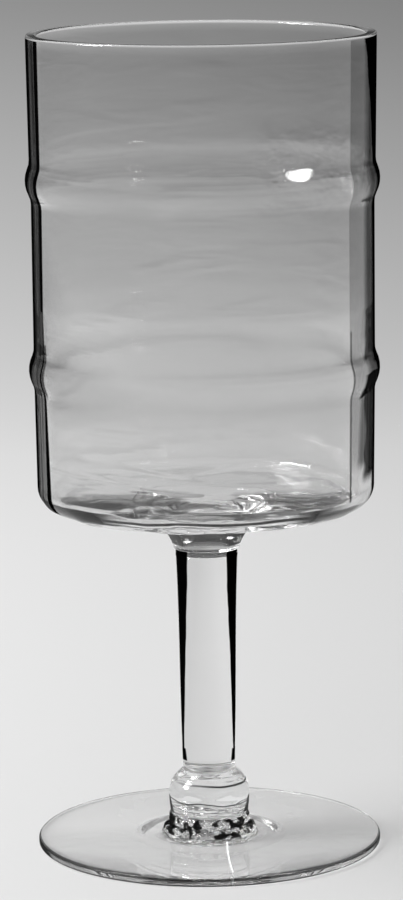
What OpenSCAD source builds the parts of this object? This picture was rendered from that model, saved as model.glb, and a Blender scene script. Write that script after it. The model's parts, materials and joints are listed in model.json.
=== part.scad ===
// Water goblet in clear glass: a straight-sided bowl with two swelled rings, on a short solid
// stem with a knop, a ring, a button and a flat disc foot. Every piece is a gather of glass that
// is turned on the same axis and fused face to face to the next. Millimetres, +Z up, and the
// origin is on the table plane under the middle of the foot.

/* [Foot] */
// Outer diameter of the foot
foot_d = 75.4; // [60:0.2:90]
// Thickness of the foot at its rounded edge
foot_edge_t = 1.8; // [1.2:0.1:2.4]
// Thickness of the foot in the middle, where the button sits
foot_middle_t = 2.4; // [2.4:0.1:4]
// Diameter of the shallow hollow under the foot
kick_d = 34.4; // [26:0.2:50]
// Width of the sloping border of that hollow
kick_slope_w = 4.8; // [3:0.2:8]
// Depth of that hollow
kick_depth = 0.8; // [0.3:0.1:1.4]

/* [Foot button] */
// Diameter of the button that joins the foot to the ring
foot_button_d = 20.6; // [20:0.2:25]
// Height of the button
foot_button_h = 1.6; // [1.6:0.1:3]
// Radius of the button's upper edge
foot_button_top_r = 1.1; // [0.4:0.1:1.1]
// Radius of the button's lower edge
foot_button_bottom_r = 0.4; // [0.2:0.1:0.4]

/* [Ring under the knop] */
// Diameter of the ring
knop_ring_d = 18.1; // [17:0.1:20]
// Height of the ring
knop_ring_h = 2.6; // [2:0.1:4]
// Radius of the ring's two edges
knop_ring_edge_r = 0.9; // [0.4:0.1:0.9]

/* [Knop] */
// Widest diameter of the knop
knop_d = 17.7; // [16:0.1:24]
// Diameter of the knop just above its lower edge
knop_base_d = 17.2; // [15:0.1:24]
// Height of the knop
knop_h = 9.7; // [8:0.1:12]
// Height of the knop's widest place
knop_waist_h = 4.3; // [3:0.1:5]
// Radius of the knop's lower edge
knop_edge_r = 0.7; // [0.3:0.1:1.2]

/* [Stem] */
// Length of the stem
stem_h = 48.5; // [30:0.5:80]
// Diameter of the stem at its upper end
stem_top_d = 13.6; // [11:0.1:14]
// Diameter of the stem's upper half
stem_upper_d = 12.2; // [10:0.1:14]
// Diameter of the stem's lower half
stem_lower_d = 12.7; // [10:0.1:14]
// Diameter of the stem where it meets the knop
stem_bottom_d = 11.4; // [9:0.1:12.5]

/* [Bowl collar] */
// Height of the flared collar under the bowl
collar_h = 10.2; // [8:0.1:16]
// Diameter of the collar's straight lower part
collar_neck_d = 14.6; // [14.4:0.1:20]
// Diameter of the collar where it meets the bowl
collar_top_d = 32; // [24:0.5:50]
// Height over which the collar stays near its lower diameter
collar_neck_h = 4; // [1:0.1:6]
// Radius of the collar's lower edge
collar_edge_r = 0.3; // [0.1:0.1:0.4]

/* [Bowl] */
// Outer diameter of the bowl at its rim
rim_d = 75; // [60:0.5:90]
// Outer diameter of the bowl just above the upper ring
shoulder_d = 74.4; // [62:0.2:90]
// Outer diameter of the bowl between its rings
middle_d = 73.8; // [62:0.2:90]
// Outer diameter of the bowl just above its lower corner
base_d = 73.2; // [62:0.2:90]
// Height of the bowl from its flat underside to its rim
bowl_h = 103; // [90:1:140]
// Thickness of the bowl's wall, which ends in a fully rounded lip
bowl_wall = 2.6; // [1.6:0.1:3.4]
// Thickness of the bowl's floor
floor_t = 2.5; // [1.6:0.1:4]
// Outer radius of the corner between wall and floor
corner_r = 5; // [3:0.1:8]
// Inner radius of that corner
inner_corner_r = 2.5; // [1:0.1:5]

/* [Bowl rings] */
// Height of the upper ring's middle above the bowl's underside
upper_ring_h = 71.5; // [55:0.5:80]
// Height of the lower ring's middle above the bowl's underside
lower_ring_h = 30.7; // [20:0.1:40]
// How far each ring swells out of the wall
ring_proud = 1.1; // [0.3:0.1:1.8]
// Radius of each ring's rounded crown
ring_crown_r = 6.4; // [4:0.1:9]
// Radius of the hollow curve at each ring's edges
ring_edge_r = 4.2; // [2:0.1:6]
// Share of the swelling that the inside of the wall follows
ring_follow_share = 0.85; // [0:0.05:1]

/* [Hidden] */
// Steps round a full turn, along an arc or curve, and from a ring's middle to its edge
$fn = 128;
arc_steps = 10;
curve_steps = 16;
ring_steps = 10;
// Colour of the clear glass, and how much of it shows
glass_tint = [0.86, 0.89, 0.9];
glass_alpha = 0.45;

// Heights at which the pieces meet, from the table up
foot_button_z = foot_middle_t;
knop_ring_z = foot_button_z + foot_button_h;
knop_z = knop_ring_z + knop_ring_h;
stem_z = knop_z + knop_h;
collar_z = stem_z + stem_h;
bowl_z = collar_z + collar_h;

// Radii of the bowl's rounded lip and of the foot's rounded edge
lip_r = bowl_wall / 2;
foot_edge_r = foot_edge_t / 2;

// Points of an arc about a centre, from one angle to another
function arc(centre, radius, from, to, steps = arc_steps) =
    [for (i = [0:steps])
        let (a = from + (to - from) * i / steps)
        centre + radius * [cos(a), sin(a)]];

// Points of a curve from a to c that leans towards b
function bend(a, b, c, steps = curve_steps) =
    [for (i = [0:steps])
        let (t = i / steps)
        pow(1 - t, 2) * a + 2 * t * (1 - t) * b + pow(t, 2) * c];

// Points of a curve from a to d that leans towards b and then c
function long_bend(a, b, c, d, steps = curve_steps) =
    [for (i = [0:steps])
        let (t = i / steps, u = 1 - t)
        pow(u, 3) * a + 3 * pow(u, 2) * t * b + 3 * u * pow(t, 2) * c + pow(t, 3) * d];

function reversed(points) = [for (i = [len(points) - 1:-1:0]) points[i]];

// A ring is a rounded crown between two hollow edge curves that meet it without a crease
ring_reach_r = ring_crown_r + ring_edge_r;
ring_turn = acos(1 - ring_proud / ring_reach_r);
ring_half_w = ring_reach_r * sin(ring_turn);
ring_crown_half_w = ring_crown_r * sin(ring_turn);

// Outer diameters of the bowl without its rings, by height above its underside
wall_stations = [
    [corner_r, base_d],
    [lower_ring_h, middle_d],
    [upper_ring_h - ring_half_w, middle_d],
    [upper_ring_h + ring_half_w, shoulder_d],
    [bowl_h - lip_r, rim_d]];

function wall_r(h) = lookup(h, wall_stations) / 2;

// How far a ring stands out of the wall, at a height from the ring's middle
function ring_rise(h) =
    abs(h) < ring_crown_half_w
        ? ring_proud - ring_crown_r + sqrt(pow(ring_crown_r, 2) - pow(h, 2))
        : ring_edge_r - sqrt(pow(ring_edge_r, 2) - pow(ring_half_w - abs(h), 2));

// Points up one face of the wall past both rings; inset is the face's depth in the wall
function ringed_wall(inset, follow) =
    [for (middle = [lower_ring_h, upper_ring_h], i = [-ring_steps:ring_steps])
        let (h = ring_half_w * i / ring_steps)
        [wall_r(middle + h) - inset + follow * ring_rise(h), middle + h]];

// Underside of the foot: the hollow's sloping border is two arcs that meet halfway
kick_half = [kick_slope_w, kick_depth] / 2;
kick_arc_r = (pow(kick_half.x, 2) + pow(kick_half.y, 2)) / (2 * kick_half.y);
kick_turn = asin(kick_half.x / kick_arc_r);
kick_floor_r = kick_d / 2 - kick_slope_w;

// A round of clear glass from the outline of its half section, set at a height
module turned(outline, z) {
    color(glass_tint, glass_alpha)
        translate([0, 0, z])
        rotate_extrude()
        polygon(outline);
}

// Half section of a disc with rounded edges
function disc_outline(d, h, bottom_r, top_r) = concat(
    [[0, 0]],
    arc([d / 2 - bottom_r, bottom_r], bottom_r, -90, 0),
    arc([d / 2 - top_r, h - top_r], top_r, 0, 90),
    [[0, h]]);

// Flat disc foot with a rounded edge, a slight rise to its middle and a hollow underneath
module foot() {
    foot_r = foot_d / 2;
    hollow = concat(
        arc([kick_floor_r, kick_depth - kick_arc_r], kick_arc_r, 90, 90 - kick_turn),
        reversed(arc([kick_d / 2, kick_arc_r], kick_arc_r, -90, -90 - kick_turn)));
    edge = arc([foot_r - foot_edge_r, foot_edge_r], foot_edge_r, -90, 90);
    top = bend([foot_r - foot_edge_r, foot_edge_t],
               [foot_button_d / 2, foot_edge_t],
               [foot_button_d / 2, foot_middle_t]);
    turned(concat([[0, kick_depth]], hollow, edge, top, [[0, foot_middle_t]]), 0);
}

// Low button that joins the foot to the ring
module foot_button() {
    turned(disc_outline(foot_button_d, foot_button_h, foot_button_bottom_r, foot_button_top_r),
           foot_button_z);
}

// Ring pressed out between the button and the knop
module knop_ring() {
    turned(disc_outline(knop_ring_d, knop_ring_h, knop_ring_edge_r, knop_ring_edge_r),
           knop_ring_z);
}

// Solid knop: a barrel with a round shoulder that ends at the foot of the stem
module knop() {
    base_r = knop_base_d / 2;
    waist = [knop_d / 2, knop_waist_h];
    rise = knop_h - knop_waist_h;
    run = (knop_d - stem_bottom_d) / 2;
    shoulder_r = (pow(rise, 2) + pow(run, 2)) / (2 * run);
    edge = arc([base_r - knop_edge_r, knop_edge_r], knop_edge_r, -90, 0);
    side = bend([base_r, knop_edge_r], [waist.x, (knop_edge_r + waist.y) / 2], waist);
    shoulder = arc(waist - [shoulder_r, 0], shoulder_r, 0, asin(rise / shoulder_r));
    turned(concat([[0, 0]], edge, side, shoulder, [[0, knop_h]]), knop_z);
}

// Solid drawn stem, with a little more glass at its upper end
module stem() {
    side = long_bend([stem_bottom_d / 2, 0], [stem_lower_d / 2, stem_h / 3],
                     [stem_upper_d / 2, stem_h * 2 / 3], [stem_top_d / 2, stem_h]);
    turned(concat([[0, 0]], side, [[0, stem_h]]), stem_z);
}

// Flared collar of glass that carries the bowl on the stem
module bowl_collar() {
    neck_r = collar_neck_d / 2;
    edge = arc([neck_r - collar_edge_r, collar_edge_r], collar_edge_r, -90, 0);
    flare = bend([neck_r, collar_edge_r], [neck_r, collar_neck_h],
                 [collar_top_d / 2, collar_h]);
    turned(concat([[0, 0]], edge, flare, [[0, collar_h]]), collar_z);
}

// Blown bowl: floor, rounded corner, ringed wall and rounded lip in one outline
module bowl() {
    outer_corner = arc([base_d / 2 - corner_r, corner_r], corner_r, -90, 0);
    lip = arc([rim_d / 2 - lip_r, bowl_h - lip_r], lip_r, 0, 180);
    inner_corner_z = floor_t + inner_corner_r;
    inner_corner = arc([wall_r(inner_corner_z) - bowl_wall - inner_corner_r, inner_corner_z],
                       inner_corner_r, 0, -90);
    turned(concat([[0, 0]], outer_corner, ringed_wall(0, 1), lip,
                  reversed(ringed_wall(bowl_wall, ring_follow_share)),
                  inner_corner, [[0, floor_t]]),
           bowl_z);
}

foot();
foot_button();
knop_ring();
knop();
stem();
bowl_collar();
bowl();
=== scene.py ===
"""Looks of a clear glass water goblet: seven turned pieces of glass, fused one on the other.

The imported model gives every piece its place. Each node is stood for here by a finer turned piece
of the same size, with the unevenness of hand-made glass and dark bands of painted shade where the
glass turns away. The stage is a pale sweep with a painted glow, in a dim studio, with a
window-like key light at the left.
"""

import json
import logging
import math
from dataclasses import dataclass, fields
from enum import Enum
from typing import Callable, Iterable, Optional, Union

import bmesh
import bpy
from mathutils import Matrix, Vector, noise

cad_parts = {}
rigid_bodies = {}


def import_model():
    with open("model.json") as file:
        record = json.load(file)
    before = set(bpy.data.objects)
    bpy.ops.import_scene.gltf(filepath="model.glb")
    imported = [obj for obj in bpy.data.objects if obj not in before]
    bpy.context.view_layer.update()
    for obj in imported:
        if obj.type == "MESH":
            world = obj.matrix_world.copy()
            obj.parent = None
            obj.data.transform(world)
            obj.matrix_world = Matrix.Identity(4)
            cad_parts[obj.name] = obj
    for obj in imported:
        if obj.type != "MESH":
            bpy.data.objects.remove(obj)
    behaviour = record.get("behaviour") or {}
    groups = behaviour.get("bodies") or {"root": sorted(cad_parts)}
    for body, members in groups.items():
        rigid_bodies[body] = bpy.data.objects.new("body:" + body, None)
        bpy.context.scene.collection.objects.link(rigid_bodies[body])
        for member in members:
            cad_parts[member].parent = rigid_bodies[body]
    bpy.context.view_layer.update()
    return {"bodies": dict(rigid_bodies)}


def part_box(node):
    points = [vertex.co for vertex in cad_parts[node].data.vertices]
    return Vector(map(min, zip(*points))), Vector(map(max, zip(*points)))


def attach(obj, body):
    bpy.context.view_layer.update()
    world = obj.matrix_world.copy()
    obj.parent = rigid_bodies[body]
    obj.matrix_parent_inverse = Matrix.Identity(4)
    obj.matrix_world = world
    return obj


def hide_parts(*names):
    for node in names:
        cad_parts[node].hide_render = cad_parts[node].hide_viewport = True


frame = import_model()

LOG = logging.getLogger("goblet")
MM = 0.001
WELD = 0.002 * MM
BODY = next(iter(frame["bodies"]))
TURN_STEPS = 256
ARC_STEPS = 14
CURVE_STEPS = 28
ANY_TURN = 2.0


class Face(Enum):
    """What a face of a piece is."""

    OUTSIDE = "outer glass"
    JOINT = "joint fused to the next piece"
    INSIDE = "inner glass of the bowl's wall"
    FLOOR = "flat glass of the bowl's floor"
    EDGE = "edge or sleeve with a finish of its own"


class Side(Enum):
    """Which side of the axis a dark edge lies on, as a direction in plan."""

    LEFT = (-1.0, 0.0)
    ROUND = (0.0, 0.0)
    RIGHT = (1.0, 0.0)
    FRONT = (0.0, -1.0)
    FRONT_LEFT = (-0.6, -0.8)
    FRONT_RIGHT = (0.8, -0.6)


Object, Material, Tree = bpy.types.Object, bpy.types.Material, bpy.types.NodeTree
Node, Socket = bpy.types.Node, bpy.types.NodeSocket
Pair = tuple[float, float]
Trio = tuple[float, float, float]
Rule = Callable[[float], Pair]
Depth = Callable[[Vector], float]
Dress = dict[Face, Material]
Value = Union[float, "Signal"]


def node_size(node: str) -> Trio:
    """Gives a node's largest radius and the heights of its underside and top."""
    low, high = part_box(node)
    return (high.x - low.x) / 2, low.z, high.z


class Outline:
    """The half section of a turned piece, drawn from point to point like a lathe hand's cut."""

    def __init__(self, radius: float, height: float) -> None:
        """Starts the outline at a point."""
        self.bm = bmesh.new()
        self.tip = self.bm.verts.new((radius, 0.0, height))

    def line(self, radius: float, height: float) -> "Outline":
        """Draws a straight stretch.

        Args:
            radius: Distance of its end from the axis, in metres.
            height: Height of its end, in metres.

        Returns:
            The outline, for the next stretch.
        """
        made = bmesh.ops.extrude_vert_indiv(self.bm, verts=[self.tip])
        self.tip = made["verts"][0]
        self.tip.co = Vector((radius, 0.0, height))
        return self

    def arc(self, centre: Pair, degrees: float, steps: int = ARC_STEPS) -> "Outline":
        """Draws a round stretch about a centre.

        Args:
            centre: Radius and height of the arc's centre, in metres.
            degrees: Angle turned, positive from the axis side up and outwards.
            steps: Number of straight steps.

        Returns:
            The outline, for the next stretch.
        """
        made = bmesh.ops.spin(
            self.bm, geom=[self.tip], cent=(centre[0], 0.0, centre[1]), axis=(0.0, -1.0, 0.0),
            angle=math.radians(degrees), steps=steps, use_merge=False, use_duplicate=False,
        )
        self.tip = next(v for v in made["geom_last"] if isinstance(v, bmesh.types.BMVert))
        return self

    def curve(self, rule: Rule, steps: int = CURVE_STEPS) -> "Outline":
        """Draws a stretch that follows a rule.

        Args:
            rule: Gives radius and height for a share of the way, from 0 to 1.
            steps: Number of straight steps.

        Returns:
            The outline, for the next stretch.
        """
        for step in range(1, steps + 1):
            self.line(*rule(step / steps))
        return self

    def turned(self, steps: int = TURN_STEPS) -> bmesh.types.BMesh:
        """Turns the outline about the axis and closes its seam and poles.

        Args:
            steps: Number of straight steps in the full turn.

        Returns:
            The turned solid.
        """
        bm = self.bm
        bmesh.ops.spin(
            bm, geom=bm.verts[:] + bm.edges[:], cent=(0.0, 0.0, 0.0), axis=(0.0, 0.0, 1.0),
            angle=math.tau, steps=steps, use_merge=True, use_duplicate=False,
        )
        bmesh.ops.remove_doubles(bm, verts=bm.verts[:], dist=WELD)
        loose = [e for e in bm.edges if not e.link_faces]
        bmesh.ops.delete(bm, geom=loose, context="EDGES")
        bmesh.ops.recalc_face_normals(bm, faces=bm.faces[:])
        return bm


def bend(*points: Pair) -> Rule:
    """Gives the rule of a curve that leans towards the points between its ends.

    Args:
        points: Radius and height of the start, of each point leaned towards, and of the end.

    Returns:
        A rule for Outline.curve.
    """
    last = len(points) - 1

    def rule(t: float) -> Pair:
        """Gives the place at a share of the way."""
        shares = [math.comb(last, k) * (1 - t) ** (last - k) * t ** k for k in range(last + 1)]
        return tuple(sum(s * p[axis] for s, p in zip(shares, points)) for axis in (0, 1))
    return rule


class Wiring:
    """Short ways to place and join nodes in one tree."""

    def __init__(self, tree: Tree) -> None:
        """Keeps the tree."""
        self.tree = tree

    def node(self, kind: str, inputs: Optional[dict] = None, **settings: object) -> Node:
        """Places a shader node.

        Args:
            kind: The node's type, without its prefix.
            inputs: What its inputs are fed, by name or place.
            settings: Its options by name, set before the inputs.

        Returns:
            The node.
        """
        made = self.tree.nodes.new("ShaderNode" + kind)
        for name, value in settings.items():
            setattr(made, name, value)
        for label, value in (inputs or {}).items():
            self.feed(made.inputs[label], value)
        return made

    def feed(self, socket: Socket, value: Union[Value, Socket, tuple]) -> None:
        """Gives a socket a plain value or joins it to another socket.

        Args:
            socket: The socket that is fed.
            value: A number, a colour, a signal or a socket.
        """
        if isinstance(value, (int, float, tuple)):
            socket.default_value = value
        else:
            self.tree.links.new(getattr(value, "socket", value), socket)

    def maths(self, operation: str, a: Value, b: Value = 0.0, clamp: bool = False) -> "Signal":
        """Works out one step of arithmetic.

        Args:
            operation: Name of the Math node's operation.
            a: First value.
            b: Second value.
            clamp: Keeps the result from 0 to 1.

        Returns:
            The result.
        """
        step = self.node("Math", {0: a, 1: b}, operation=operation, use_clamp=clamp)
        return Signal(self, step.outputs[0])

    def ramp(self, value: Value, start: Value, end: Value, low: float = 0.0,
             high: float = 1.0) -> "Signal":
        """Eases from low to high while the value goes from start to end.

        Args:
            value: The value that moves.
            start: Where the easing starts.
            end: Where it ends.
            low: Result before the start.
            high: Result after the end.

        Returns:
            The result.
        """
        inputs = dict(enumerate((value, start, end, low, high)))
        made = self.node("MapRange", inputs, interpolation_type="SMOOTHSTEP")
        return Signal(self, made.outputs[0])

    def vector(self, x: Value, y: Value, z: Value) -> Socket:
        """Joins three values into a vector."""
        return self.node("CombineXYZ", {0: x, 1: y, 2: z}).outputs[0]

    def place(self) -> tuple["Signal", ...]:
        """Gives the three Object coordinates."""
        parts = self.node("SeparateXYZ", {0: self.node("TexCoord").outputs["Object"]})
        return tuple(Signal(self, part) for part in parts.outputs)

    def grain(self, vector: Socket, detail: float, swirl: Value = 0.0) -> "Signal":
        """Gives noise from 0 to 1 at a vector.

        Args:
            vector: Where the noise is read.
            detail: Number of finer layers.
            swirl: How far the noise is twisted.

        Returns:
            The noise.
        """
        made = self.node("TexNoise", {
            "Vector": vector, "Scale": 1.0, "Detail": detail, "Distortion": swirl})
        return Signal(self, made.outputs["Fac"])

    def cloud(self, scales: tuple[Value, ...], detail: float, swirl: Value = 0.0) -> "Signal":
        """Gives noise over Object coordinates.

        Args:
            scales: Waves to a metre along each axis.
            detail: Number of finer layers.
            swirl: How far the noise is twisted.

        Returns:
            The noise, from 0 to 1.
        """
        parts = (part * scale for part, scale in zip(self.place(), scales))
        return self.grain(self.vector(*parts), detail, swirl)

    def turned_from(self, normal: Socket) -> "Signal":
        """Gives how far a normal turns away from the eye, from 0 to 1."""
        return Signal(self, self.node("LayerWeight", {"Normal": normal}).outputs["Facing"])

    def blend(self, share: Union[Value, Socket], first: Socket, second: Socket) -> Socket:
        """Mixes two shaders."""
        return self.node("MixShader", {0: share, 1: first, 2: second}).outputs[0]


class Signal:
    """A value that changes over a surface; plain arithmetic on it places Math nodes."""

    def __init__(self, wiring: Wiring, socket: Socket) -> None:
        """Keeps the tree's wiring and the socket."""
        self.wiring, self.socket = wiring, socket

    def __add__(self, other: Value) -> "Signal":
        """Adds a value."""
        return self.wiring.maths("ADD", self, other)

    def __sub__(self, other: Value) -> "Signal":
        """Takes a value off."""
        return self.wiring.maths("SUBTRACT", self, other)

    def __rsub__(self, other: float) -> "Signal":
        """Takes this value off a number."""
        return self.wiring.maths("SUBTRACT", other, self)

    def __mul__(self, other: Value) -> "Signal":
        """Multiplies by a value."""
        return self.wiring.maths("MULTIPLY", self, other)

    def __truediv__(self, other: Value) -> "Signal":
        """Divides by a value."""
        return self.wiring.maths("DIVIDE", self, other)

    def __abs__(self) -> "Signal":
        """Drops the sign."""
        return self.wiring.maths("ABSOLUTE", self)

    def held(self) -> "Signal":
        """Keeps the value from 0 to 1."""
        return self.wiring.maths("ADD", self, 0.0, clamp=True)


def new_group(name: str, inputs: dict[str, float],
              output: str) -> tuple[Wiring, dict[str, Signal], Socket]:
    """Starts a shared node group with named number inputs and one output.

    Args:
        name: The group's name.
        inputs: Names and usual values of the inputs.
        output: Name of the output.

    Returns:
        The group's wiring, its inputs by name, and the socket that takes the result.
    """
    tree = bpy.data.node_groups.new(name, "ShaderNodeTree")
    for label, usual in inputs.items():
        socket = tree.interface.new_socket(label, in_out="INPUT", socket_type="NodeSocketFloat")
        socket.default_value = usual
    tree.interface.new_socket(output, in_out="OUTPUT", socket_type="NodeSocketFloat")
    wiring, given = Wiring(tree), tree.nodes.new("NodeGroupInput").outputs
    named = {socket.name: Signal(wiring, socket) for socket in given if socket.name}
    return wiring, named, tree.nodes.new("NodeGroupOutput").inputs[0]


@dataclass(frozen=True)
class FlowLines:
    """Shared group for the faint flow lines of hand-worked glass, calm but for some patches."""

    detail: float = 1.5
    patch_scales: Trio = (17.0, 17.0, 70.0)
    patch_swirl: float = 0.6
    patch_range: Pair = (0.52, 0.6)
    patch_least: float = 0.12
    right_of: Pair = (-5.0 * MM, 20.0 * MM)
    right_least: float = 0.4
    above: Pair = (144.0 * MM, 152.0 * MM)
    above_least: float = 0.25
    dimple_scales: Trio = (170.0, 170.0, 240.0)
    dimple_side: Pair = (8.0 * MM, 16.0 * MM)
    dimple_foot: Pair = (138.0 * MM, 146.0 * MM)
    dimple_head: Pair = (158.0 * MM, 151.0 * MM)
    dimple_gain: float = 1.6

    def build(self) -> Tree:
        """Builds the group.

        Returns:
            A group that gives a height for a Bump node from Object coordinates.
        """
        wiring, given, height = new_group("flow_lines", {
            "Across": 60.0, "Upright": 300.0, "Swirl": 1.5, "Patches": 0.0}, "Height")
        across, upright, swirl, patches = given.values()
        lines = wiring.cloud((across, across, upright), self.detail, swirl)
        x, _, z = wiring.place()
        patch = wiring.ramp(wiring.cloud(self.patch_scales, 1.0, self.patch_swirl),
                            *self.patch_range, self.patch_least, 1.0)
        patch = patch * wiring.ramp(x, *self.right_of, 1.0, self.right_least)
        patch = patch * wiring.ramp(z, *self.above, 1.0, self.above_least)
        dimples = wiring.cloud(self.dimple_scales, 2.0) * patches
        for part, limits in ((x, self.dimple_side), (z, self.dimple_foot), (z, self.dimple_head)):
            dimples = dimples * wiring.ramp(part, *limits)
        flowing = lines * (1.0 - (1.0 - patch) * patches)
        wiring.feed(height, flowing + dimples * self.dimple_gain)
        return wiring.tree


@dataclass(frozen=True)
class Band:
    """One band of painted shade at the edge of thick glass, standing for the dim room seen in it.

    It lies between two heights, and between the silhouette (or the outer cosine of the face's
    turn) and an inner cosine, which may change from the band's foot to its head.
    """

    side: Side
    low: float
    high: float
    inner_low: float = ANY_TURN
    inner_high: float = ANY_TURN
    bend: float = 1.0
    outer: float = -1.0
    soft: float = 0.02
    waver: float = 0.0
    share: float = 1.0
    fade: float = 0.5 * MM
    drift: float = 0.0
    streaks: float = 0.0
    grain: float = 100.0
    from_within: bool = False

    def values(self) -> dict[str, float]:
        """Gives the numbers for the shared group's inputs, by their names."""
        numbers = {field.name.replace("_", " ").title(): getattr(self, field.name)
                   for field in fields(self) if field.name not in ("side", "from_within")}
        return {**numbers, "Side X": self.side.value[0], "Side Y": self.side.value[1]}


@dataclass(frozen=True)
class PaintedDarkEdges:
    """Shared group for the painted shade: dark bands where thick glass turns away from the eye."""

    drift_scales: Trio = (110.0, 110.0, 40.0)
    outer_soft: float = 0.008
    head_soft: float = 0.15 * MM
    streak_turns: float = 70.0
    streak_rises: float = 28.0
    streak_range: Pair = (0.38, 0.66)
    side_reach: float = 12.0 * MM

    def build(self) -> Tree:
        """Builds the group.

        Returns:
            A group that gives the share of painted shade from how the face is turned, by height
            and side.
        """
        wiring, given, dark = new_group(
            "painted_dark_edge", {"Facing": 0.0, **Band(Side.ROUND, 0.0, 1.0).values()}, "Dark")
        low, high, side_x, side_y = (given[name] for name in ("Low", "High", "Side X", "Side Y"))
        x, y, z = wiring.place()
        z = z + (wiring.cloud(self.drift_scales, 1.0) - 0.5) * given["Drift"]
        turned = 1.0 - given["Facing"]
        risen = wiring.maths("POWER", ((z - low) / (high - low)).held(), given["Bend"])
        sway = wiring.cloud((given["Grain"],) * 3, 2.0) - 0.5
        inner = (given["Inner Low"] + risen * (given["Inner High"] - given["Inner Low"])
                 + sway * given["Waver"])
        within = wiring.ramp(turned, inner + given["Soft"], inner - given["Soft"])
        outer = given["Outer"]
        past = wiring.ramp(turned, outer - self.outer_soft, outer + self.outer_soft)
        above = wiring.ramp(z, low - given["Fade"], low)
        below = wiring.ramp(z, high, high + self.head_soft, 1.0, 0.0)
        along = wiring.vector(turned * turned * self.streak_turns, z * self.streak_rises, x)
        pale = wiring.ramp(wiring.grain(along, 2.0), *self.streak_range) * given["Streaks"]
        leaning = (x * side_x + y * side_y) / self.side_reach
        sided = (abs(side_x) + abs(side_y)).held()
        there = (1.0 - sided * 0.5 + leaning).held()
        wiring.feed(dark, given["Share"] * within * past * above * below * there * (1.0 - pale))
        return wiring.tree


@dataclass(frozen=True)
class BowedLine:
    """Shared group for a fine bowed white line on a flat top face, all lengths in metres."""

    start: float = 10.5 * MM
    end: float = 32.5 * MM
    beside: float = 3.8 * MM
    bow: float = 1.1 * MM
    half_width: float = 0.14 * MM
    top_from: float = 1.2 * MM

    def build(self) -> Tree:
        """Builds the group.

        Returns:
            A group that gives 1 on the line and 0 beside it, from Object coordinates.
        """
        wiring, given, mark = new_group("scratch", {
            "From": self.start, "To": self.end, "Beside": self.beside, "Bow": self.bow,
            "Half Width": self.half_width}, "Mark")
        x, y, z = wiring.place()
        ahead = y * -1.0
        way = ((ahead - given["From"]) / (given["To"] - given["From"])).held()
        off = abs(x - (given["Beside"] + given["Bow"] * (way * way)))
        wiring.feed(mark, wiring.maths("LESS_THAN", off, given["Half Width"])
                    * wiring.maths("GREATER_THAN", ahead, given["From"])
                    * wiring.maths("LESS_THAN", ahead, given["To"])
                    * wiring.maths("GREATER_THAN", z, self.top_from))
        return wiring.tree


@dataclass(frozen=True)
class Shared:
    """The node groups that the finishes share."""

    flow: Tree
    # The group of painted shade: dark bands at the glass's edges.
    edge: Tree
    scratch: Tree


def new_material(name: str) -> tuple[Material, Wiring]:
    """Starts a material with an empty node tree.

    Args:
        name: The material's name.

    Returns:
        The material and its wiring.
    """
    material = bpy.data.materials.new(name)
    material.use_nodes = True
    material.node_tree.nodes.clear()
    return material, Wiring(material.node_tree)


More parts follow.
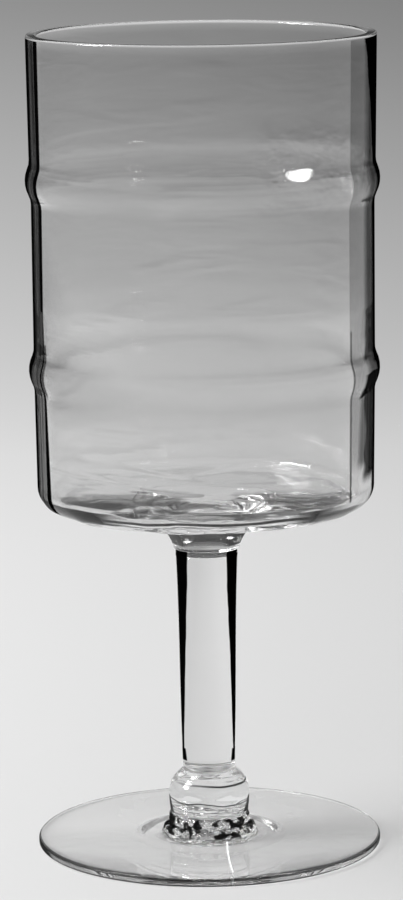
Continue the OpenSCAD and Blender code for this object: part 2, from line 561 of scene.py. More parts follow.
@dataclass(frozen=True)
class ClearGlass:
    """A clear glass finish with faint flow lines, and painted shade: dark bands where it turns
    away.

    The painted dark bands stand for the dim room seen through and in the glass. They are placed
    by the turn in plan, as the eye sees it from the goblet's own height, and fade out for an eye
    well above or below it.
    """

    name: str
    bands: tuple[Band, ...]
    tint: Trio = (0.985, 0.99, 0.99)
    across: float = 60.0
    upright: float = 200.0
    relief: float = 0.02
    patches: float = 0.0
    shade_passed: float = 0.86
    deep: float = 0.0006
    scratched: bool = False
    swirl: float = 1.5
    ior: float = 1.52
    deep_roughness: float = 0.4
    powder: float = 0.95
    powder_roughness: float = 0.6
    eye_level: float = 0.984
    least_level: float = 0.0004
    eye_range: Pair = (0.45, 0.8)

    def build(self, shared: Shared) -> Material:
        """Makes the material.

        Args:
            shared: The node groups.

        Returns:
            The material.
        """
        material, wiring = new_material(self.name)
        lines = wiring.node("Group", {
            "Across": self.across, "Upright": self.upright, "Swirl": self.swirl,
            "Patches": self.patches}, node_tree=shared.flow)
        bump = wiring.node("Bump", {
            "Strength": self.relief, "Distance": MM, "Height": lines.outputs[0]})
        shown = wiring.node("BsdfPrincipled", {
            "Base Color": (*self.tint, 1.0), "Roughness": 0.0, "IOR": self.ior,
            "Transmission Weight": 1.0, "Normal": bump.outputs["Normal"]}).outputs[0]
        # Painted shade: a dark shader, mixed over the glass in the dark bands.
        deep = wiring.node("BsdfPrincipled", {
            "Base Color": (*(self.deep,) * 3, 1.0), "Roughness": self.deep_roughness,
            "Specular IOR Level": 0.0})
        shown = wiring.blend(self.darkness(wiring, shared.edge), shown, deep.outputs[0])
        # A fine bowed white line on the top of the foot, drawn with a pale rough shader.
        if self.scratched:
            mark = wiring.node("Group", node_tree=shared.scratch).outputs[0]
            powder = wiring.node("BsdfPrincipled", {
                "Base Color": (*(self.powder,) * 3, 1.0), "Roughness": self.powder_roughness})
            shown = wiring.blend(mark, shown, powder.outputs[0])
        shade = wiring.node("BsdfTransparent", {"Color": (*(self.shade_passed,) * 3, 1.0)})
        by_lamp = wiring.node("LightPath").outputs["Is Shadow Ray"]
        wiring.node("OutputMaterial", {"Surface": wiring.blend(by_lamp, shown, shade.outputs[0])})
        return material

    def darkness(self, wiring: Wiring, edge: Tree) -> Signal:
        """Lays the bands of painted shade over each other.

        Args:
            wiring: The material's wiring.
            edge: The shared group of painted shade at the edges.

        Returns:
            The share of painted shade.
        """
        x, y, _ = wiring.place()
        radial = wiring.node("VectorMath", {0: wiring.vector(x, y, 0.0)}, operation="NORMALIZE")
        turned = 1.0 - wiring.turned_from(radial.outputs[0])
        above = 1.0 - wiring.turned_from(wiring.vector(0.0, 0.0, 1.0))
        level = wiring.maths("SQRT", wiring.maths("MAXIMUM", 1.0 - above * above, self.least_level))
        facing = 1.0 - turned / level * self.eye_level
        within = Signal(wiring, wiring.node("NewGeometry").outputs["Backfacing"])
        total: Value = 0.0
        for band in self.bands:
            placed = wiring.node("Group", {"Facing": facing, **band.values()}, node_tree=edge)
            seen = within if band.from_within else 1.0 - within
            total = wiring.maths("MAXIMUM", Signal(wiring, placed.outputs[0]) * seen, total)
        return total * wiring.ramp(above, *self.eye_range, 1.0, 0.0)


def joint_material() -> Material:
    """Makes the material of a fused joint, inside which no surface shows."""
    material, wiring = new_material("fused_joint")
    clear = wiring.node("BsdfPrincipled", {"Alpha": 0.0})
    wiring.node("OutputMaterial", {"Surface": clear.outputs[0]})
    return material


def finished(name: str, bm: bmesh.types.BMesh, materials: Iterable[Material]) -> Object:
    """Makes a smooth object of a bmesh, in place in the scene.

    Args:
        name: The object's name.
        bm: The shape, which is used up.
        materials: Its materials, in the order of the faces' numbers.

    Returns:
        The object.
    """
    for face in bm.faces:
        face.smooth = True
    mesh = bpy.data.meshes.new(name)
    bm.to_mesh(mesh)
    bm.free()
    for material in materials:
        mesh.materials.append(material)
    made = bpy.data.objects.new(name, mesh)
    bpy.context.scene.collection.objects.link(made)
    return made


@dataclass
class GlassPiece:
    """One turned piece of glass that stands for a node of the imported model."""

    node: str
    joints: tuple[Pair, ...]
    slot: str = "stem_glass"
    inside_from: float = math.inf
    floor_r: float = 0.0
    edge_from: float = math.inf
    edge_below: float = -math.inf
    joint_slack: float = 0.01 * MM
    flat: float = 0.97
    upright: float = 0.6
    outward: float = 0.3

    def build(self, outline: Outline, dress: Dress, uneven: Optional[Depth] = None) -> None:
        """Turns the outline into a finished piece and sets it on the frame.

        Args:
            outline: The piece's half section.
            dress: Material of each kind of face.
            uneven: Gives how far a point lies inwards of the true surface, in metres.
        """
        bm = outline.turned()
        if uneven:
            bm.normal_update()
            moves = [(v, v.normal.copy(), uneven(v.co)) for v in bm.verts]
            for vertex, normal, depth in moves:
                vertex.co -= normal * depth
        kinds = list(dress)
        for face in bm.faces:
            face.material_index = kinds.index(self.kind(face))
        piece = finished(self.node + "_glass", bm, dress.values())
        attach(piece, BODY)
        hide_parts(self.node)
        LOG.info("%s: %d faces", piece.name, len(piece.data.polygons))

    def kind(self, face: bmesh.types.BMFace) -> Face:
        """Tells what a face is by its place and normal.

        Args:
            face: A face of the piece.

        Returns:
            What the face is.
        """
        centre, normal = face.calc_center_median(), face.normal
        radius = math.hypot(centre.x, centre.y)
        for height, reach in self.joints:
            if abs(centre.z - height) < self.joint_slack and radius < reach:
                return Face.JOINT
        if abs(normal.z) > self.flat and radius < self.floor_r:
            return Face.FLOOR
        edge = radius > self.edge_from or centre.z < self.edge_below
        if edge and abs(normal.z) < self.upright:
            return Face.EDGE
        outward = normal.x * centre.x + normal.y * centre.y
        if centre.z > self.inside_from and outward < self.outward * radius:
            return Face.INSIDE
        return Face.OUTSIDE


@dataclass(frozen=True)
class Groove:
    """A fine wavering line left round a piece by the tools that shaped it."""

    height: float
    depth: float
    waver: float = 0.25 * MM
    width: float = 0.15 * MM
    waves: float = 1.7
    seed_scale: float = 900.0

    def at(self, co: Vector) -> float:
        """Gives the groove's depth at a point.

        Args:
            co: The point.

        Returns:
            The depth, in metres.
        """
        turn, seed = math.atan2(co.y, co.x), self.height * self.seed_scale
        place = Vector((math.cos(turn) * self.waves, math.sin(turn) * self.waves, seed))
        middle = self.height + self.waver * noise.noise(place)
        return self.depth * math.exp(-((co.z - middle) / self.width) ** 2)


def ripple(co: Vector, scale: float, seed: float) -> float:
    """Gives smooth unevenness from about -1 to 1, with so many waves to a metre."""
    return noise.noise(Vector((co.x * scale + seed, co.y * scale, co.z * scale)))


def held(value: float) -> float:
    """Keeps a number from 0 to 1."""
    return min(1.0, max(0.0, value))


@dataclass
class Foot:
    """Flat disc foot with a rounded edge and a shallow hollow underneath."""

    finish: ClearGlass
    edge_finish: ClearGlass
    edge_t: float = 1.8 * MM
    edge_r: float = 0.6 * MM
    edge_w: float = 1.0 * MM
    hollow_r: float = 17.2 * MM
    hollow_slope: float = 4.8 * MM
    hollow_depth: float = 0.8 * MM
    button_joint_r: float = 9.9 * MM

    def build(self, shared: Shared, joint: Material) -> None:
        """Builds and dresses the foot.

        Args:
            shared: The node groups.
            joint: Material of the fused joints.
        """
        radius, low, high = node_size("foot")
        button_r = node_size("foot_button")[0]
        floor_r = self.hollow_r - self.hollow_slope
        half = (self.hollow_slope / 2, self.hollow_depth / 2)
        arc_r = (half[0] ** 2 + half[1] ** 2) / (2 * half[1])
        turn = math.degrees(math.asin(half[0] / arc_r))
        outline = Outline(0.0, low + self.hollow_depth).line(floor_r, low + self.hollow_depth)
        outline.arc((floor_r, low + self.hollow_depth - arc_r), -turn)
        outline.arc((self.hollow_r, low + arc_r), turn)
        flat_r, top = radius - self.edge_r, low + self.edge_t
        outline.line(flat_r, low).arc((flat_r, low + self.edge_r), 90)
        outline.line(radius, top - self.edge_r).arc((flat_r, top - self.edge_r), 90)
        outline.curve(bend((flat_r, top), (button_r, top), (button_r, high)))
        outline.line(self.button_joint_r, high).line(0.0, high)
        dress = {Face.OUTSIDE: self.finish.build(shared), Face.JOINT: joint,
                 Face.EDGE: self.edge_finish.build(shared)}
        GlassPiece("foot", ((high, self.button_joint_r),), "foot_glass",
                   edge_from=radius - self.edge_w).build(outline, dress)


@dataclass
class Stem:
    """The solid parts between foot and bowl: button, ring, knop, stem and collar."""

    finish: ClearGlass
    pressed_finish: ClearGlass
    drawn_finish: ClearGlass
    flared_finish: ClearGlass
    button_top_r: float = 1.1 * MM
    button_bottom_r: float = 0.4 * MM
    ring_edge_r: float = 0.9 * MM
    knop_base_r: float = 8.6 * MM
    knop_waist_h: float = 4.3 * MM
    knop_edge_r: float = 0.7 * MM
    stem_top_r: float = 6.8 * MM
    stem_upper_r: float = 6.1 * MM
    stem_lower_r: float = 6.35 * MM
    stem_bottom_r: float = 5.7 * MM
    collar_neck_r: float = 7.3 * MM
    collar_step_h: float = 1.1 * MM
    collar_step_r: float = 0.08 * MM
    collar_neck_h: float = 2.8 * MM
    collar_lean: Pair = (11.0 * MM, 9.4 * MM)
    collar_edge_r: float = 0.3 * MM
    lump_scale: float = 460.0
    lump_ease: float = 0.3 * MM
    lump_mean: float = 0.5
    lump_swing: float = 0.9
    button_lumps: Pair = (0.3 * MM, 21.0)
    ring_lumps: Pair = (0.26 * MM, 5.0)
    grooves: tuple[Groove, ...] = (
        Groove(7.9 * MM, 0.05 * MM), Groove(9.9 * MM, 0.05 * MM, 0.8 * MM),
        Groove(14.6 * MM, 0.03 * MM, 0.4 * MM),
    )

    def build(self, shared: Shared, joint: Material) -> None:
        """Builds and dresses the five pieces, from the foot up.

        Args:
            shared: The node groups.
            joint: Material of the fused joints.
        """
        plain, pressed, drawn, flared = (
            {Face.OUTSIDE: finish.build(shared), Face.JOINT: joint}
            for finish in (self.finish, self.pressed_finish, self.drawn_finish, self.flared_finish))
        ring_r = node_size("knop_ring")[0] - self.ring_edge_r
        knop_r = self.knop_base_r - self.knop_edge_r
        self.pressed("foot_button", (self.button_bottom_r, self.button_top_r), ring_r, pressed,
                     self.lumps(ring_r, *self.button_lumps))
        self.pressed("knop_ring", (self.ring_edge_r, self.ring_edge_r), knop_r, pressed,
                     self.lumps(ring_r, *self.ring_lumps))
        self.knop(plain)
        self.shaft(drawn)
        self.collar({**flared, Face.EDGE: drawn[Face.OUTSIDE]})

    def pressed(self, node: str, edges: Pair, joint_r: float, dress: Dress, lumps: Depth) -> None:
        """Builds the button on the foot or the ring under the knop.

        Args:
            node: Name of its node.
            edges: Radii of its lower and upper edge.
            joint_r: Radius of the joint on its top.
            dress: Material of each kind of face.
            lumps: Its unevenness.
        """
        radius, low, high = node_size(node)
        lower, upper = edges
        outline = Outline(0.0, low).line(radius - lower, low)
        outline.arc((radius - lower, low + lower), 90).line(radius, high - upper)
        outline.arc((radius - upper, high - upper), 90).line(joint_r, high).line(0.0, high)
        GlassPiece(node, ((low, radius - lower), (high, joint_r))).build(outline, dress, lumps)

    def lumps(self, joint_r: float, depth: float, seed: float) -> Depth:
        """Gives the lumpy unevenness of a pressed ring.

        Args:
            joint_r: Radius inside which the piece stays flat.
            depth: Greatest depth of the hollows.
            seed: Shifts the pattern.

        Returns:
            How far a point lies inwards of the true surface.
        """
        def at(co: Vector) -> float:
            """Gives the depth at a point."""
            ease = held((math.hypot(co.x, co.y) - joint_r) / self.lump_ease)
            return depth * ease * (
                self.lump_mean + self.lump_swing * ripple(co, self.lump_scale, seed))
        return at

    def tooled(self, co: Vector) -> float:
        """Gives the depth of the knop's tool lines at a point."""
        return sum(groove.at(co) for groove in self.grooves)

    def knop(self, dress: Dress) -> None:
        """Builds the solid knop with its round shoulder.

        Args:
            dress: Material of each kind of face.
        """
        radius, low, high = node_size("knop")
        base, edge = self.knop_base_r - self.knop_edge_r, low + self.knop_edge_r
        waist = low + self.knop_waist_h
        rise, run = high - waist, radius - self.stem_bottom_r
        shoulder_r = (rise ** 2 + run ** 2) / (2 * run)
        outline = Outline(0.0, low).line(base, low).arc((base, edge), 90)
        outline.curve(bend((self.knop_base_r, edge), (radius, (edge + waist) / 2), (radius, waist)))
        outline.arc((radius - shoulder_r, waist), math.degrees(math.asin(rise / shoulder_r)),
                    CURVE_STEPS)
        outline.line(0.0, high)
        GlassPiece("knop", ((low, base), (high, self.stem_bottom_r))).build(
            outline, dress, self.tooled)

    def shaft(self, dress: Dress) -> None:
        """Builds the drawn stem.

        Args:
            dress: Material of each kind of face.
        """
        _, low, high = node_size("stem")
        third = (high - low) / 3
        outline = Outline(0.0, low).line(self.stem_bottom_r, low)
        outline.curve(bend((self.stem_bottom_r, low), (self.stem_lower_r, low + third),
                           (self.stem_upper_r, high - third), (self.stem_top_r, high)),
                      2 * CURVE_STEPS)
        outline.line(0.0, high)
        joints = ((low, self.stem_bottom_r), (high, self.stem_top_r))
        GlassPiece("stem", joints).build(outline, dress)

    def collar(self, dress: Dress) -> None:
        """Builds the flared collar that carries the bowl.

        Args:
            dress: Material of each kind of face.
        """
        top_r, low, high = node_size("bowl_collar")
        step = low + self.collar_step_h
        edge = step + self.collar_edge_r
        outline = Outline(0.0, low).line(self.stem_top_r, low)
        outline.line(self.stem_top_r + self.collar_step_r, step)
        neck_r, (lean_r, lean_h) = self.collar_neck_r, self.collar_lean
        outline.line(neck_r - self.collar_edge_r, step)
        outline.arc((neck_r - self.collar_edge_r, edge), 90)
        outline.curve(bend((neck_r, edge), (neck_r, low + self.collar_neck_h),
                           (lean_r, low + lean_h), (top_r, high)))
        outline.line(0.0, high)
        GlassPiece("bowl_collar", ((low, self.stem_top_r), (high, top_r)), edge_below=step).build(
            outline, dress)


@dataclass(frozen=True)
class Handwork:
    """How far the blown bowl strays from a true one, as waves, depths and easings."""

    floor_depth: float = 0.7 * MM
    floor_waves: tuple[Pair, ...] = ((75.0, 3.7), (190.0, 9.1))
    floor_fine: float = 0.35
    mean: float = 0.8
    floor_ease: float = 3.0 * MM
    floor_front: Pair = (0.25, 12.0 * MM)
    under_depth: float = 0.3 * MM
    under_wave: Pair = (150.0, 17.3)
    under_ease: float = 2.0 * MM
    under_rise: float = 1.2
    under_front: Pair = (0.4, 10.0 * MM)
    soft_turn: float = 34.0
    front_soft: Pair = (0.5, 0.42)
    rear_soft: Pair = (0.6, 0.3)
    lower_soft: float = 0.45
    most_soft: float = 0.9

    def floor(self, co: Vector, inset: float) -> float:
        """Gives the depth of the wavy inner floor.

        Args:
            co: A point on it.
            inset: How far the point lies inside the floor's edge.

        Returns:
            The depth, in metres.
        """
        broad, fine = (ripple(co, *wave) for wave in self.floor_waves)
        start, reach = self.floor_front
        front = held(start - co.y / reach)
        wave = self.mean + (broad + self.floor_fine * fine)
        return self.floor_depth * wave * min(1.0, inset / self.floor_ease) * front

    def underside(self, co: Vector, past_collar: float, rise: float) -> float:
        """Gives the depth of the uneven underside.

        Args:
            co: A point on it.
            past_collar: How far the point lies outside the collar.
            rise: Share of the corner's height at which it lies.

        Returns:
            The depth, in metres.
        """
        start, reach = self.under_front
        fade = min(1.0, past_collar / self.under_ease, self.under_rise * (1.0 - rise))
        fade *= held(start - co.y / reach)
        return self.under_depth * max(0.0, fade) * (self.mean + ripple(co, *self.under_wave))

    def softness(self, co: Vector, lower: bool) -> float:
        """Gives the share by which a swelled ring is flattened.

        Args:
            co: A point on it.
            lower: Whether it is the lower ring.

        Returns:
            The share.
        """
        share, width = self.front_soft
        turn = math.atan2(-co.x, -co.y) - math.radians(self.soft_turn)
        soft = share * math.exp(-(turn / width) ** 2)
        if lower:
            share, width = self.rear_soft
            turn = math.atan2(co.x, co.y) - math.radians(self.soft_turn)
            soft += share * math.exp(-(turn / width) ** 2)
            soft += self.lower_soft * (co.y / math.hypot(co.x, co.y)) ** 2
        return min(soft, self.most_soft)


@dataclass
class Bowl:
    """Blown bowl: floor, rounded corner, wall with two swelled rings and a rounded lip."""

    finish: ClearGlass
    inside_finish: ClearGlass
    floor_finish: ClearGlass
    handwork: Handwork = Handwork()
    rim_r: float = 37.5 * MM
    shoulder_r: float = 37.2 * MM
    middle_r: float = 36.9 * MM
    base_r: float = 36.6 * MM
    wall: float = 2.4 * MM
    lip_r: float = 0.5 * MM
    lip_t: float = 1.1 * MM
    lip_round_h: float = 0.7 * MM
    thin_wall: float = 2.15 * MM
    thick_wall: float = 3.0 * MM
    thinned_h: float = 14.0 * MM
    floor_t: float = 2.5 * MM
    corner_r: float = 5.0 * MM
    corner_skin: float = 0.7
    inner_corner_r: float = 2.5 * MM
    lower_ring_h: float = 30.7 * MM
    upper_ring_h: float = 71.5 * MM
    ring_proud: float = 1.08 * MM
    crown_r: float = 6.4 * MM
    edge_r: float = 4.2 * MM
    inner_crown_r: float = 5.6 * MM
    wall_steps: int = 90
    floor_steps: int = 40

    def stations(self, height: float) -> list[Trio]:
        """Gives the wall's measures without the rings.

        Args:
            height: Height of the whole bowl.

        Returns:
            Heights above the underside, each with the wall's radius and thickness there.
        """
        half = (self.crown_r + self.edge_r) * math.sin(self.ring_turn())
        return [
            (self.corner_r, self.base_r, self.thick_wall),
            (self.lower_ring_h, self.middle_r, self.thick_wall),
            (self.lower_ring_h + self.thinned_h, self.middle_r, self.thin_wall),
            (self.upper_ring_h - half, self.middle_r, self.thin_wall),
            (self.upper_ring_h + half, self.shoulder_r, self.thin_wall),
            (height - self.wall, self.rim_r, self.wall),
        ]

    def ring_turn(self) -> float:
        """Gives the steepest slope of a ring's side, in radians."""
        return math.acos(1 - self.ring_proud / (self.crown_r + self.edge_r))

    def ring_rise(self, off: float, crown_r: float) -> float:
        """Gives how far a ring stands out of the wall.

        Args:
            off: Height from the ring's middle.
            crown_r: Radius of its crown's section.

        Returns:
            The rise, in metres.
        """
        turn_sine = math.sin(self.ring_turn())
        off, half = abs(off), (self.crown_r + self.edge_r) * turn_sine
        edge_r = self.crown_r + self.edge_r - crown_r
        if off < crown_r * turn_sine:
            return self.ring_proud - crown_r + math.sqrt(crown_r ** 2 - off ** 2)
        if off < half:
            return edge_r - math.sqrt(edge_r ** 2 - (half - off) ** 2)
        return 0.0

    def swell(self, h: float, crown_r: float) -> float:
        """Gives how far either ring stands out of the wall at a height above the underside."""
        return sum(self.ring_rise(h - middle, crown_r)
                   for middle in (self.lower_ring_h, self.upper_ring_h))

    def wall_r(self, h: float, height: float, depth: float = 0.0) -> float:
        """Gives the radius of a face of the wall at a height above the underside.

        Args:
            h: Height above the underside.
            height: Height of the whole bowl.
            depth: Share of the wall's thickness at which the face lies.

        Returns:
            The radius, in metres.
        """
        table = self.stations(height)
        h = min(max(h, table[0][0]), table[-1][0])
        radius, wall = table[-1][1:]
        for (h0, r0, t0), (h1, r1, t1) in zip(table[:-1], table[1:]):
            if h <= h1:
                share = (h - h0) / (h1 - h0)
                radius, wall = r0 + (r1 - r0) * share, t0 + (t1 - t0) * share
                break
        crown_r = self.crown_r + depth * (self.inner_crown_r - self.crown_r)
        return radius - depth * wall + self.swell(h, crown_r)

    def uneven(self, low: float, height: float, collar_r: float) -> Depth:
        """Gives the hand-made unevenness of the floor, the underside and the rings.

        Args:
            low: Height of the bowl's underside.
            height: Height of the whole bowl.
            collar_r: Radius of the joint with the collar.

        Returns:
            How far a point lies inwards of the true surface.
        """
        flat_r = self.base_r - self.corner_r
        middle = (self.lower_ring_h + self.upper_ring_h) / 2

        def depth(co: Vector) -> float:
            """Gives the depth at a point.

            Args:
                co: The point.

            Returns:
                The depth, in metres.
            """
            h, radius = co.z - low, math.hypot(co.x, co.y)
            if self.floor_t / 2 < h < self.corner_r and radius < flat_r:
                return self.handwork.floor(co, flat_r - radius)
            skin = math.hypot(radius - flat_r, h - self.corner_r) > self.corner_r * self.corner_skin
            corner = radius > flat_r and h < self.corner_r and skin
            if corner or (h < self.floor_t / 2 and radius > collar_r):
                return self.handwork.underside(co, radius - collar_r, h / self.corner_r)
            if h > self.corner_r:
                soft = self.handwork.softness(co, h < middle)
                if radius > self.wall_r(h, height, 0.5):
                    return soft * self.swell(h, self.crown_r)
                return -soft * self.swell(h, self.inner_crown_r)
            return 0.0
        return depth

    def build(self, shared: Shared, joint: Material) -> None:
        """Builds and dresses the bowl.

        Args:
            shared: The node groups.
            joint: Material of the fused joints.
        """
        _, low, high = node_size("bowl")
        height, collar_r = high - low, node_size("bowl_collar")[0]
        top, flat_r = height - self.wall, self.base_r - self.corner_r
        inner_start = self.floor_t + self.inner_corner_r

        def outer(t: float) -> Pair:
            """Follows the outer wall upwards."""
            h = self.corner_r + (top - self.corner_r) * t
            return self.wall_r(h, height), low + h

        def inner(t: float) -> Pair:
            """Follows the inner wall downwards."""
            h = top + (inner_start - top) * t
            return self.wall_r(h, height, 1.0), low + h

        outline = Outline(0.0, low).line(collar_r, low).line(flat_r, low)
        outline.arc((flat_r, low + self.corner_r), 90).curve(outer, self.wall_steps)
        outline.line(self.rim_r, high - self.lip_r)
        outline.arc((self.rim_r - self.lip_r, high - self.lip_r), 90)
        inside_r = self.rim_r - self.wall
        outline.line(self.rim_r - self.lip_t, high)
        outline.curve(bend((self.rim_r - self.lip_t, high), (inside_r, high),
                           (inside_r, high - self.lip_round_h)), ARC_STEPS)
        outline.line(inside_r, low + top).curve(inner, self.wall_steps)
        floor_r = self.wall_r(inner_start, height, 1.0) - self.inner_corner_r
        outline.arc((floor_r, low + inner_start), -90)
        outline.curve(lambda t: (floor_r * (1 - t), low + self.floor_t), self.floor_steps)
        dress = {
            Face.OUTSIDE: self.finish.build(shared), Face.JOINT: joint,
            Face.INSIDE: self.inside_finish.build(shared),
            Face.FLOOR: self.floor_finish.build(shared),
        }
        GlassPiece("bowl", ((low, collar_r),), "bowl_glass", low + self.floor_t / 2, flat_r).build(
            outline, dress, self.uneven(low, height, collar_r))


@dataclass(frozen=True)
class Viewpoint:
    """Where the photograph was taken from, in the row frame."""

    distance: float = 0.835
    height: float = 0.239
    pitch: float = 10.29
    roll: float = -0.65
    yaw: float = -0.0587
    focal_px: float = 3905.0
    long_side_px: float = 900.0
    sensor: float = 36.0
    clip: Pair = (0.05, 50.0)

    def build(self) -> None:
        """Makes the camera and the scene's view of it."""
        pitch, roll, yaw = (math.radians(a) for a in (self.pitch, self.roll, self.yaw))
        ahead = Vector((math.sin(yaw) * math.cos(pitch), math.cos(yaw) * math.cos(pitch),
                        -math.sin(pitch)))
        right = Vector((math.cos(yaw), -math.sin(yaw), 0.0))
        up = right.cross(ahead)
        tilted_right = right * math.cos(roll) + up * math.sin(roll)
        tilted_up = up * math.cos(roll) - right * math.sin(roll)
        data = bpy.data.cameras.new("camera")
        data.sensor_width = self.sensor
        data.lens = self.focal_px * self.sensor / self.long_side_px
        data.clip_start, data.clip_end = self.clip
        camera = bpy.data.objects.new("camera", data)
        turn = Matrix((tilted_right, tilted_up, -ahead)).transposed()
        camera.matrix_world = Matrix.Translation((0.0, -self.distance, self.height)) @ turn.to_4x4()
        bpy.context.scene.collection.objects.link(camera)
        bpy.context.scene.camera = camera


@dataclass(frozen=True)
class SoftLight:
    """A rectangular soft light that faces the goblet."""

    name: str
    place: Trio
    size: Pair
    watts: float
    seen: bool = True
    spread: float = 60.0
    target: Trio = (0.0, 0.0, 0.09)

    def build(self) -> None:
        """Makes the light."""
        data = bpy.data.lights.new(self.name, "AREA")
        data.shape, data.energy, data.spread = "RECTANGLE", self.watts, math.radians(self.spread)
        data.size, data.size_y = self.size
        light = bpy.data.objects.new(self.name, data)
        light.location = self.place
        aim = Vector(self.target) - Vector(self.place)
        light.rotation_euler = aim.to_track_quat("-Z", "Y").to_euler()
        light.visible_glossy = light.visible_transmission = self.seen
        bpy.context.scene.collection.objects.link(light)


@dataclass(frozen=True)
class Studio:
    """Pale sweep with a painted glow in a dim studio, with three soft lights at the left."""

    sweep_r: float = 4.5
    cove_r: float = 1.2
    cove_steps: int = 24
    wall_h: float = 3.5
    drop: float = 0.15 * MM
    floor_radii: tuple[float, ...] = (0.05, 0.1, 0.2, 0.4, 0.8, 1.6)
    sweep_steps: int = 96
    glow: float = 0.61
    glow_fall: float = 0.667
    even_r: float = 0.48
    dip: float = 0.29
    dip_range: Pair = (-0.1, 0.42)
    near_lean: float = 1.5
    far_lean: float = 2.4
    lean_range: Pair = (0.1, 2.5)
    most_slant: float = 0.07
    wall_lift: float = 2.4
    lift_range: Pair = (0.3, 0.5)
    dusk: float = 0.06
    dusk_range: Pair = (1.2, 2.0)
    paper: float = 0.18
    room: float = 0.02
    lights: tuple[SoftLight, ...] = (
        SoftLight("window", (-0.965, -0.17, 0.62), (0.42, 0.56), 1.7),
        SoftLight("upper_left", (-0.55, 0.1, 0.95), (0.22, 0.22), 0.3),
        SoftLight("side", (-0.6, -0.07, 0.8), (0.3, 0.3), 1.2, seen=False),
    )

    def build(self) -> None:
        """Makes the stage, the world and the lights."""
        self.sweep()
        world = bpy.data.worlds.new("room")
        world.use_nodes = True
        bpy.context.scene.world = world
        world.node_tree.nodes["Background"].inputs["Color"].default_value = (*(self.room,) * 3, 1.0)
        for light in self.lights:
            light.build()

    def sweep(self) -> None:
        """Makes the floor and its surrounding wall in one turned sheet."""
        outline, flat_r = Outline(0.0, -self.drop), self.sweep_r - self.cove_r
        for radius in (*self.floor_radii, flat_r):
            outline.line(radius, -self.drop)
        outline.arc((flat_r, self.cove_r - self.drop), 90, self.cove_steps)
        bm = outline.line(self.sweep_r, self.wall_h).turned(self.sweep_steps)
        bmesh.ops.reverse_faces(bm, faces=[f for f in bm.faces if f.normal.z < 0])
        sweep = finished("sweep", bm, [self.sweep_material()])

    def sweep_material(self) -> Material:
        """Makes the sweep's paper with a painted glow: emitted light, bright near the goblet,
        dimmer far from it.

        Returns:
            The material.
        """
        material, wiring = new_material("paper_with_painted_glow")
        x, y, z = wiring.place()
        # Painted light: an emitted glow that dims away from the goblet, darkens towards the right,
        # is lifted on the wall and dims high on it; near the goblet it dips, where the lamps light
        # the paper.
        reach = wiring.maths("SQRT", x * x + y * y)
        away = wiring.maths("MAXIMUM", reach - self.even_r, 0.0)
        fade = wiring.maths("DIVIDE", self.glow, away * self.glow_fall + 1.0)
        near = wiring.ramp(reach, *self.dip_range, 1.0 - self.dip, 1.0)
        slant = wiring.maths("MINIMUM", x / (abs(y) + Viewpoint.distance), self.most_slant)
        slant = wiring.maths("MAXIMUM", slant, -self.most_slant)
        side_falloff = 1.0 - slant * wiring.ramp(reach, *self.lean_range, self.near_lean, self.far_lean)
        lift = wiring.ramp(z, *self.lift_range, 1.0, self.wall_lift)
        upper = lift * wiring.ramp(z, *self.dusk_range, 1.0, self.dusk)
        glow = wiring.node("Emission", {"Color": fade * near * side_falloff * upper, "Strength": 1.0})
        paper = wiring.node("BsdfDiffuse", {"Color": (*(self.paper,) * 3, 1.0)})
        both = wiring.node("AddShader", {0: glow.outputs[0], 1: paper.outputs[0]})
        wiring.node("OutputMaterial", {"Surface": both.outputs[0]})
        return material


CLEAR = (1.0, 1.0, 1.0)
# Grey tints, darker than clear glass: partly the glass's own tint, partly painted shade for the dim
# room seen in the glass.
BOWL_TINT_AND_SHADE = (0.89, 0.89, 0.89)
STEM_TINT_AND_SHADE = (0.87, 0.87, 0.87)
ROUND, LEFT, RIGHT, FRONT = Side.ROUND, Side.LEFT, Side.RIGHT, Side.FRONT
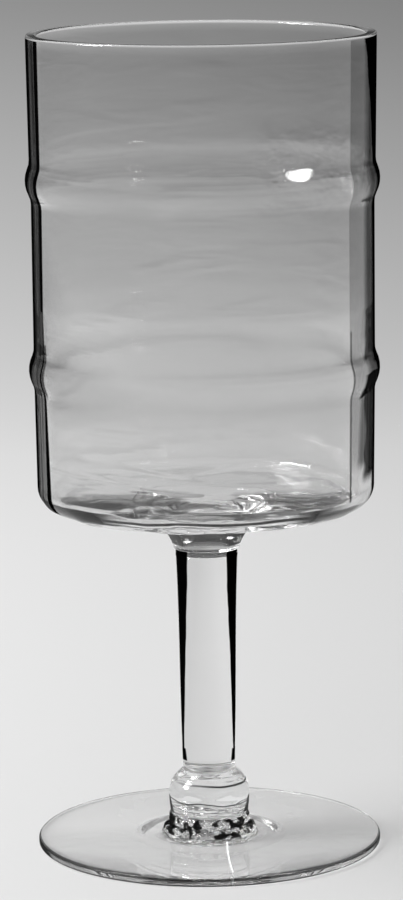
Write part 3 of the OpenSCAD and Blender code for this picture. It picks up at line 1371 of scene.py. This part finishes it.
# Painted shade on the bowl's outer glass: dark bands down its left and right sides, and faint
# darkening over wide stretches of the wall.
BOWL_BANDS = (
    Band(LEFT, 0.0762, 0.104, 0.395, 0.36, soft=0.012, waver=0.01, share=0.9, streaks=0.2),
    Band(LEFT, 0.104, 0.120, 0.36, 0.335, soft=0.012, waver=0.01, share=0.93, fade=0.01,
         streaks=0.14),
    Band(LEFT, 0.120, 0.1773, 0.335, 0.352, soft=0.012, waver=0.01, share=0.95, streaks=0.13),
    Band(LEFT, 0.0762, 0.120, 0.395, 0.335, outer=0.325, soft=0.006),
    Band(LEFT, 0.120, 0.1773, 0.335, 0.352, outer=0.285, soft=0.006),
    Band(ROUND, 0.0762, 0.1773, 0.18, 0.2, soft=0.03),
    Band(RIGHT, 0.090, 0.1773, 0.515, 0.515, soft=0.005, share=0.4, fade=0.008),
    Band(RIGHT, 0.090, 0.1773, 0.36, 0.36, soft=0.11, share=0.9, fade=0.005, streaks=0.12),
    Band(RIGHT, 0.140, 0.1773, 0.18, 0.37, 1.4, soft=0.025, waver=0.08),
    Band(RIGHT, 0.0845, 0.1040, 0.35, 0.35, soft=0.04, waver=0.18, share=0.985, fade=0.003,
         streaks=0.07),
    Band(RIGHT, 0.1015, 0.1060, 0.41, 0.33, soft=0.04, waver=0.3, share=0.99, fade=0.0008,
         drift=0.002),
    Band(RIGHT, 0.1095, 0.1200, 0.36, 0.34, soft=0.04, waver=0.12, share=0.93, fade=0.002,
         drift=0.004, streaks=0.1),
    Band(RIGHT, 0.0795, 0.116, 0.51, 0.51, outer=0.492, soft=0.004, share=0.8),
    Band(RIGHT, 0.088, 0.106, 0.44, 0.40, soft=0.06, share=0.8, fade=0.004, streaks=0.25),
    Band(LEFT, 0.103, 0.113, 0.395, 0.37, soft=0.015, share=0.9, fade=0.003, streaks=0.1),
    Band(LEFT, 0.104, 0.155, 0.8, 0.0, soft=0.35, share=0.3, fade=0.012),
    Band(LEFT, 0.080, 0.165, 0.6, 0.0, soft=0.35, share=0.12, fade=0.004),
    Band(ROUND, 0.106, 0.170, 1.7, 0.0, soft=0.4, share=0.06, fade=0.012),
)
# Painted shade inside the bowl: a dark line on the lip's top at the front, and dark lines along the
# floor's inner corner, seen from within the glass.
INSIDE_BANDS = (
    Band(FRONT, 0.17793, 0.1781, share=0.8, fade=0.00005),
    Band(Side.FRONT_RIGHT, 0.0777, 0.0785, 0.9, 0.9, soft=0.03, share=0.85, from_within=True),
    Band(FRONT, 0.0780, 0.0783, share=0.95, fade=0.0001, drift=0.0006, from_within=True),
    Band(Side.FRONT_LEFT, 0.0777, 0.0790, 0.9, 0.9, soft=0.03, from_within=True),
)
# Painted shade: dark bands down both sides of the stem.
STEM_BANDS = (
    Band(ROUND, 0.0192, 0.0659, 0.32, 0.77, 0.6, outer=0.17, soft=0.012, waver=0.1),
    Band(ROUND, 0.0186, 0.0212, 0.52, 0.46, outer=0.12, soft=0.03, waver=0.3, drift=0.002,
         fade=0.0003),
)
# Painted shade over both sides of the collar, dark enough to cover the window's light seen through
# it.
COLLAR_BANDS = (
    Band(RIGHT, 0.0674, 0.0740, 0.82, 0.82, soft=0.08, waver=0.3, share=0.96),
    Band(LEFT, 0.0674, 0.0740, 0.74, 0.74, soft=0.05, waver=0.3, share=0.92),
)
# Painted shade on the knop: dark bands low on its sides and two thin wavering dark lines at the
# front.
KNOP_BANDS = (
    Band(ROUND, 0.0072, 0.0105, 0.45, 0.2, soft=0.03, waver=0.5, share=0.9),
    Band(Side.FRONT_RIGHT, 0.0138, 0.01405, share=0.93, drift=0.0014, fade=0.0001),
    Band(FRONT, 0.0098, 0.0100, share=0.85, drift=0.0025, fade=0.0001),
)
# Painted shade: dark patches round the button and the ring.
PRESSED_BANDS = (
    Band(ROUND, 0.0026, 0.0064, 0.64, 0.52, soft=0.05, waver=6.0, share=0.97, grain=540.0),
)
# Painted shade on the foot: dark bands at its left and right ends, dark lines along its front edge,
# and a faint darkening of its front half.
FOOT_BANDS = (
    Band(LEFT, 0.0001, 0.0016, 0.42, 0.32, soft=0.06, share=0.92),
    Band(RIGHT, 0.0001, 0.0014, 0.3, 0.25, soft=0.06, share=0.75),
    Band(FRONT, 0.0013, 0.0016, share=0.82, fade=0.0002),
    Band(FRONT, 0.0001, 0.0004, share=0.88, fade=0.0001),
    Band(FRONT, 0.0003, 0.0014, share=0.12, fade=0.0001),
    Band(Side.FRONT_LEFT, 0.0007, 0.0011, share=0.25, fade=0.0002),
    Band(FRONT, 0.0017, 0.0040, share=0.11, fade=0.0001),
)
# Painted shade: dark patches at the front of the bowl's floor.
FLOOR_BANDS = (
    Band(FRONT, 0.0765, 0.0785, 0.55, 0.55, soft=0.22, waver=5.0, share=0.72, grain=85.0),
)
GLASS_BOUNCES = 40
MIRROR_BOUNCES = 24


def set_render() -> None:
    """Sets the view transform and lets light through many layers of glass."""
    scene = bpy.context.scene
    scene.view_settings.view_transform = "Standard"
    scene.cycles.max_bounces = scene.cycles.transmission_bounces = GLASS_BOUNCES
    scene.cycles.transparent_max_bounces = GLASS_BOUNCES
    scene.cycles.glossy_bounces = MIRROR_BOUNCES
    scene.cycles.sample_clamp_indirect = 0.0


def main() -> None:
    """Builds the goblet, the stage and the camera, and reports each piece."""
    logging.basicConfig(level=logging.INFO, format="%(name)s %(message)s")
    Viewpoint().build()
    shared = Shared(FlowLines().build(), PaintedDarkEdges().build(), BowedLine().build())
    joint = joint_material()
    Foot(ClearGlass("foot_glass", FOOT_BANDS, CLEAR, shade_passed=0.97, scratched=True),
         ClearGlass("foot_edge_glass", FOOT_BANDS, CLEAR, shade_passed=0.04)).build(shared, joint)
    Stem(ClearGlass("stem_glass", KNOP_BANDS, shade_passed=0.5),
         ClearGlass("pressed_glass", PRESSED_BANDS, across=480.0, upright=480.0, relief=1.0),
         ClearGlass("drawn_glass", STEM_BANDS, STEM_TINT_AND_SHADE, shade_passed=0.4),
         ClearGlass("flared_glass", COLLAR_BANDS, STEM_TINT_AND_SHADE, deep=0.1)).build(shared, joint)
    Bowl(ClearGlass("bowl_glass", BOWL_BANDS, BOWL_TINT_AND_SHADE, across=24.0, upright=170.0, relief=0.14,
                    patches=1.0, shade_passed=0.78),
         ClearGlass("bowl_glass_inside", INSIDE_BANDS, BOWL_TINT_AND_SHADE, shade_passed=0.78),
         ClearGlass("bowl_glass_floor", FLOOR_BANDS, CLEAR)).build(shared, joint)
    Studio().build()
    set_render()


if __name__ == "__main__":
    main()
